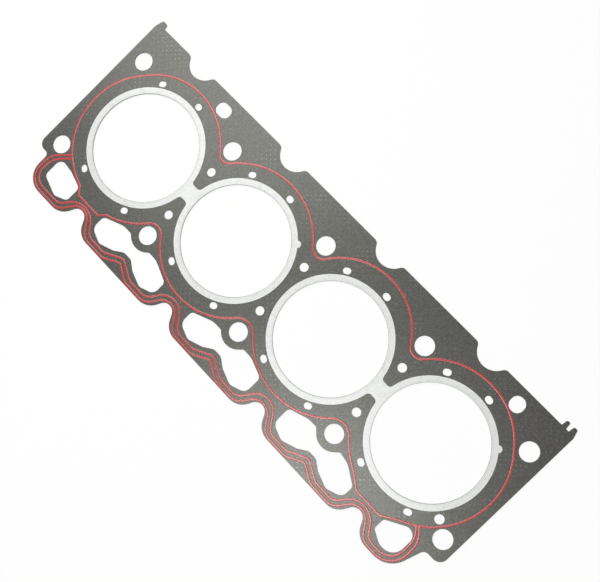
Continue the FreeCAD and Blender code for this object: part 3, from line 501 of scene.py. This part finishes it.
@dataclass(frozen=True)
class PrintedSilicone:
    """Red oxide silicone rubber, screen printed and oven cured.

    The eye sees a satin brick-red bead with a soft highlight along its crown, a faint mesh grain
    from the screen and slightly uneven pigment.
    """

    bead: str = "#a4211f"
    thin: str = "#ae2f2c"
    pigment_mm: float = 6.0
    pigment_detail: float = 3.0
    # The screen's mesh is about 0.15 mm and is drawn this coarse to show.
    mesh_mm: float = 0.45
    mesh_detail: float = 2.0
    roughness: tuple[float, float] = (0.17, 0.32)
    ior: float = 1.5
    specular: float = 0.7
    relief: float = 0.4
    relief_mm: float = 0.012

    def material(self) -> bpy.types.Material:
        """Builds the finish.

        Returns:
            The material.
        """
        material, tree = new_material("screen_printed_silicone")
        place = add_node(tree, "ShaderNodeTexCoord").outputs["Object"]
        pigment = add_node(tree, "ShaderNodeTexNoise", {
            "Vector": place, "Scale": per_size(self.pigment_mm), "Detail": self.pigment_detail,
        })
        colour = add_node(tree, "ShaderNodeMix", {
            SHARE: pigment.outputs[0], FIRST: linear(self.bead), SECOND: linear(self.thin),
        }, data_type="RGBA")
        mesh = add_node(tree, "ShaderNodeTexNoise", {
            "Vector": place, "Scale": per_size(self.mesh_mm), "Detail": self.mesh_detail,
        })
        roughness = add_node(tree, "ShaderNodeMapRange", {
            "Value": mesh.outputs[0],
            "To Min": self.roughness[0], "To Max": self.roughness[1],
        })
        bump = add_node(tree, "ShaderNodeBump", {
            "Height": mesh.outputs[0],
            "Strength": self.relief,
            "Distance": self.relief_mm * MM,
        })
        rubber = add_node(tree, "ShaderNodeBsdfPrincipled", {
            "Base Color": colour.outputs[BLEND],
            "Roughness": roughness.outputs[0],
            "IOR": self.ior,
            "Specular IOR Level": self.specular,
            "Normal": bump.outputs[0],
        })
        add_node(tree, "ShaderNodeOutputMaterial", {"Surface": rubber.outputs[0]})
        return material


def dress(piece: bpy.types.Object, material: bpy.types.Material) -> None:
    """Gives a CAD piece a finish through its own material slots, without touching its mesh.

    Args:
        piece: Object of the CAD frame.
        material: Finish for every slot.
    """
    for slot in piece.material_slots:
        slot.link = "OBJECT"
        slot.material = material


@dataclass
class LayeredBody:
    """Soft body of the gasket: a steel core between two fibre facings."""

    core: str = "core_plate"
    facings: tuple[str, ...] = ("facing_top", "facing_bottom")

    def build(self, nodes: dict[str, bpy.types.Object]) -> list[bpy.types.Object]:
        """Dresses the three layers.

        Args:
            nodes: CAD pieces by name.

        Returns:
            The dressed pieces.
        """
        low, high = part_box(self.core)
        dress(nodes[self.core], ShearedCore().material(float(low[2]), float(high[2])))
        fibre = FibreFacing().material()
        for name in self.facings:
            dress(nodes[name], fibre)
        return [nodes[name] for name in (self.core, *self.facings)]


@dataclass
class BoreArmour:
    """Folded steel linings of the bores, two bores in each."""

    linings: tuple[str, ...] = ("bore_armour_front", "bore_armour_rear")

    def build(self, nodes: dict[str, bpy.types.Object]) -> list[bpy.types.Object]:
        """Dresses both linings.

        Args:
            nodes: CAD pieces by name.

        Returns:
            The dressed pieces.
        """
        steel = FoldedArmour().material()
        for name in self.linings:
            dress(nodes[name], steel)
        return [nodes[name] for name in self.linings]


@dataclass
class SealBead:
    """Domed silicone print of one face, shaped on the CAD bead's own band."""

    node: str
    side: Side
    material: bpy.types.Material
    # Share of the bead's height that its edge reaches.
    edge_share: float = 0.3
    # Steps inwards from the edge, in millimetres, and the share of the height that each climbs to.
    steps: tuple[tuple[float, float], ...] = ((0.1, 0.65), (0.13, 0.88), (0.15, 1.0))
    # Corners of the CAD mesh nearer than this, in metres, are one.
    weld: float = 1e-6
    # A face that points outwards at least this squarely belongs to the crown.
    squareness: float = 0.9

    def build(self, nodes: dict[str, bpy.types.Object]) -> bpy.types.Object:
        """Shapes the dome and lets it stand for the CAD bead.

        Args:
            nodes: CAD pieces by name.

        Returns:
            The bead.
        """
        way = self.side.value
        low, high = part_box(self.node)
        foot, crown = (low[2], high[2]) if way > 0 else (high[2], low[2])
        mesh = bmesh.new()
        mesh.from_mesh(nodes[self.node].data)
        bmesh.ops.remove_doubles(mesh, verts=mesh.verts, dist=self.weld)
        bmesh.ops.recalc_face_normals(mesh, faces=mesh.faces)
        outer = [face for face in mesh.faces if face.normal.z * way > self.squareness]
        self._set_level(outer, foot + self.edge_share * (crown - foot))
        for inset, share in self.steps:
            bmesh.ops.inset_region(
                mesh, faces=outer, thickness=inset * MM, depth=0.0, use_boundary=True,
                use_even_offset=False,
            )
            self._set_level(outer, foot + share * (crown - foot))
        bmesh.ops.recalc_face_normals(mesh, faces=mesh.faces)
        data = bpy.data.meshes.new(f"{self.node}_dome")
        mesh.to_mesh(data)
        mesh.free()
        data.materials.append(self.material)
        data.shade_smooth()
        bead = bpy.data.objects.new(f"{self.node}_dome", data)
        bpy.context.scene.collection.objects.link(bead)
        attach(bead, "root")
        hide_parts(self.node)
        return bead

    @staticmethod
    def _set_level(faces: list[bmesh.types.BMFace], level: float) -> None:
        """Puts every corner of these faces at one height."""
        for vert in {vert for face in faces for vert in face.verts}:
            vert.co.z = level


@dataclass
class Softbox:
    """Square studio lamp that points at the middle of the gasket, in metres and watts."""

    name: str
    place: tuple[float, float, float]
    size: float
    power: float
    aim: tuple[float, float, float] = (0.0, 0.0, 0.0)

    def build(self) -> bpy.types.Object:
        """Hangs the lamp.

        Returns:
            The lamp.
        """
        data = bpy.data.lights.new(self.name, "AREA")
        data.shape = "SQUARE"
        data.size = self.size
        data.energy = self.power
        lamp = bpy.data.objects.new(self.name, data)
        lamp.location = self.place
        towards = [to - start for to, start in zip(self.aim, self.place)]
        lamp.rotation_mode = "QUATERNION"
        lamp.rotation_quaternion = Vector(towards).to_track_quat("-Z", "Y")
        bpy.context.scene.collection.objects.link(lamp)
        return lamp


@dataclass
class Studio:
    """White table, pale surroundings, softboxes and the camera above the gasket, in metres."""

    floor_half: float = 4.0
    floor_colour: str = "#f8f8f6"
    # Just under the armour, so that the two surfaces don't share a plane.
    floor_level: float = -0.0001
    # Share of plain white in the table beside the gasket; the rest is lit paper.
    floor_glow: float = 0.86
    # Distances from the middle of the gasket between which the table fades to plain white.
    fade: tuple[float, float] = (0.35, 1.2)
    fill: float = 0.2
    camera_place: tuple[float, float, float] = (0.10005, 0.02899, 0.52964)
    camera_degrees: tuple[float, float, float] = (5.414, 8.467, 46.11)
    camera_reach: tuple[float, float] = (0.01, 20.0)
    lens_mm: float = 50.96
    sensor_mm: float = 36.0
    lamps: list[Softbox] = field(default_factory=lambda: [
        Softbox("softbox_spark_side", (-0.552, 0.312, 1.0), 0.8, 8.6),
        Softbox("softbox_pushrod_side", (0.098, -0.322, 1.0), 0.43, 4.6),
    ])

    def build(self) -> None:
        """Sets the stage, the world, the lamps and the camera."""
        self._floor()
        self._world()
        for lamp in self.lamps:
            lamp.build()
        self._camera()
        bpy.context.scene.view_settings.view_transform = "Standard"

    def _seen_directly(self, tree: bpy.types.NodeTree) -> bpy.types.NodeSocket:
        """Adds a factor that is 1 for camera, glossy and transmission rays and 0 for the others.

        Args:
            tree: Node tree to add it to.

        Returns:
            The factor's socket.
        """
        path = add_node(tree, "ShaderNodeLightPath")
        either = add_node(tree, "ShaderNodeMath", {
            0: path.outputs["Is Camera Ray"], 1: path.outputs["Is Glossy Ray"],
        }, operation="MAXIMUM")
        return add_node(tree, "ShaderNodeMath", {
            0: either.outputs[0], 1: path.outputs["Is Transmission Ray"],
        }, operation="MAXIMUM").outputs[0]

    def _floor(self) -> None:
        """Lays the table under the gasket; it keeps the gasket's soft shadow and reads as white."""
        mesh = bmesh.new()
        bmesh.ops.create_grid(mesh, x_segments=1, y_segments=1, size=self.floor_half)
        data = bpy.data.meshes.new("table")
        mesh.to_mesh(data)
        mesh.free()
        material, tree = new_material("matt_white_table")
        paper = add_node(tree, "ShaderNodeBsdfDiffuse", {"Color": linear(self.floor_colour)})
        glow = add_node(tree, "ShaderNodeEmission", {"Color": linear(WHITE), "Strength": 1.0})
        place = add_node(tree, "ShaderNodeTexCoord").outputs["Object"]
        away = add_node(tree, "ShaderNodeVectorMath", {0: place}, operation="LENGTH")
        whiteness = add_node(tree, "ShaderNodeMapRange", {
            "Value": away.outputs["Value"],
            "From Min": self.fade[0], "From Max": self.fade[1],
            "To Min": self.floor_glow, "To Max": 1.0,
        })
        share = add_node(tree, "ShaderNodeMath", {
            0: self._seen_directly(tree), 1: whiteness.outputs[0],
        }, operation="MULTIPLY")
        table_top = add_node(tree, "ShaderNodeMixShader", {
            0: share.outputs[0], 1: paper.outputs[0], 2: glow.outputs[0],
        })
        add_node(tree, "ShaderNodeOutputMaterial", {"Surface": table_top.outputs[0]})
        data.materials.append(material)
        floor = bpy.data.objects.new("table", data)
        floor.location.z = self.floor_level
        bpy.context.scene.collection.objects.link(floor)

    def _world(self) -> None:
        """Surrounds the scene with a soft fill that cameras and reflections see as plain white."""
        world = bpy.data.worlds.new("pale_room")
        world.use_nodes = True
        tree = world.node_tree
        tree.nodes.clear()
        strength = add_node(tree, "ShaderNodeMapRange", {
            "Value": self._seen_directly(tree), "To Min": self.fill, "To Max": 1.0,
        })
        room = add_node(tree, "ShaderNodeBackground", {
            "Color": linear(WHITE), "Strength": strength.outputs[0],
        })
        add_node(tree, "ShaderNodeOutputWorld", {"Surface": room.outputs[0]})
        bpy.context.scene.world = world

    def _camera(self) -> None:
        """Places the camera above the rear half of the gasket, tilted a little off the plumb."""
        data = bpy.data.cameras.new("overhead_camera")
        data.lens = self.lens_mm
        data.sensor_width = self.sensor_mm
        data.clip_start, data.clip_end = self.camera_reach
        camera = bpy.data.objects.new("overhead_camera", data)
        camera.location = self.camera_place
        camera.rotation_euler = [math.radians(turn) for turn in self.camera_degrees]
        bpy.context.scene.collection.objects.link(camera)
        bpy.context.scene.camera = camera


def main() -> None:
    """Loads the CAD frame, dresses each sub-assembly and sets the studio."""
    logging.basicConfig(level=logging.INFO, format="%(name)s: %(message)s")
    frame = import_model()
    nodes = frame["nodes"]
    for piece in LayeredBody().build(nodes) + BoreArmour().build(nodes):
        LOG.info("dressed %s", piece.name)
    silicone = PrintedSilicone().material()
    for node, side in (("seal_bead_top", Side.HEAD), ("seal_bead_bottom", Side.BLOCK)):
        bead = SealBead(node, side, silicone).build(nodes)
        LOG.info("shaped %s with %d faces", bead.name, len(bead.data.polygons))
    Studio().build()


if __name__ == "__main__":
    main()
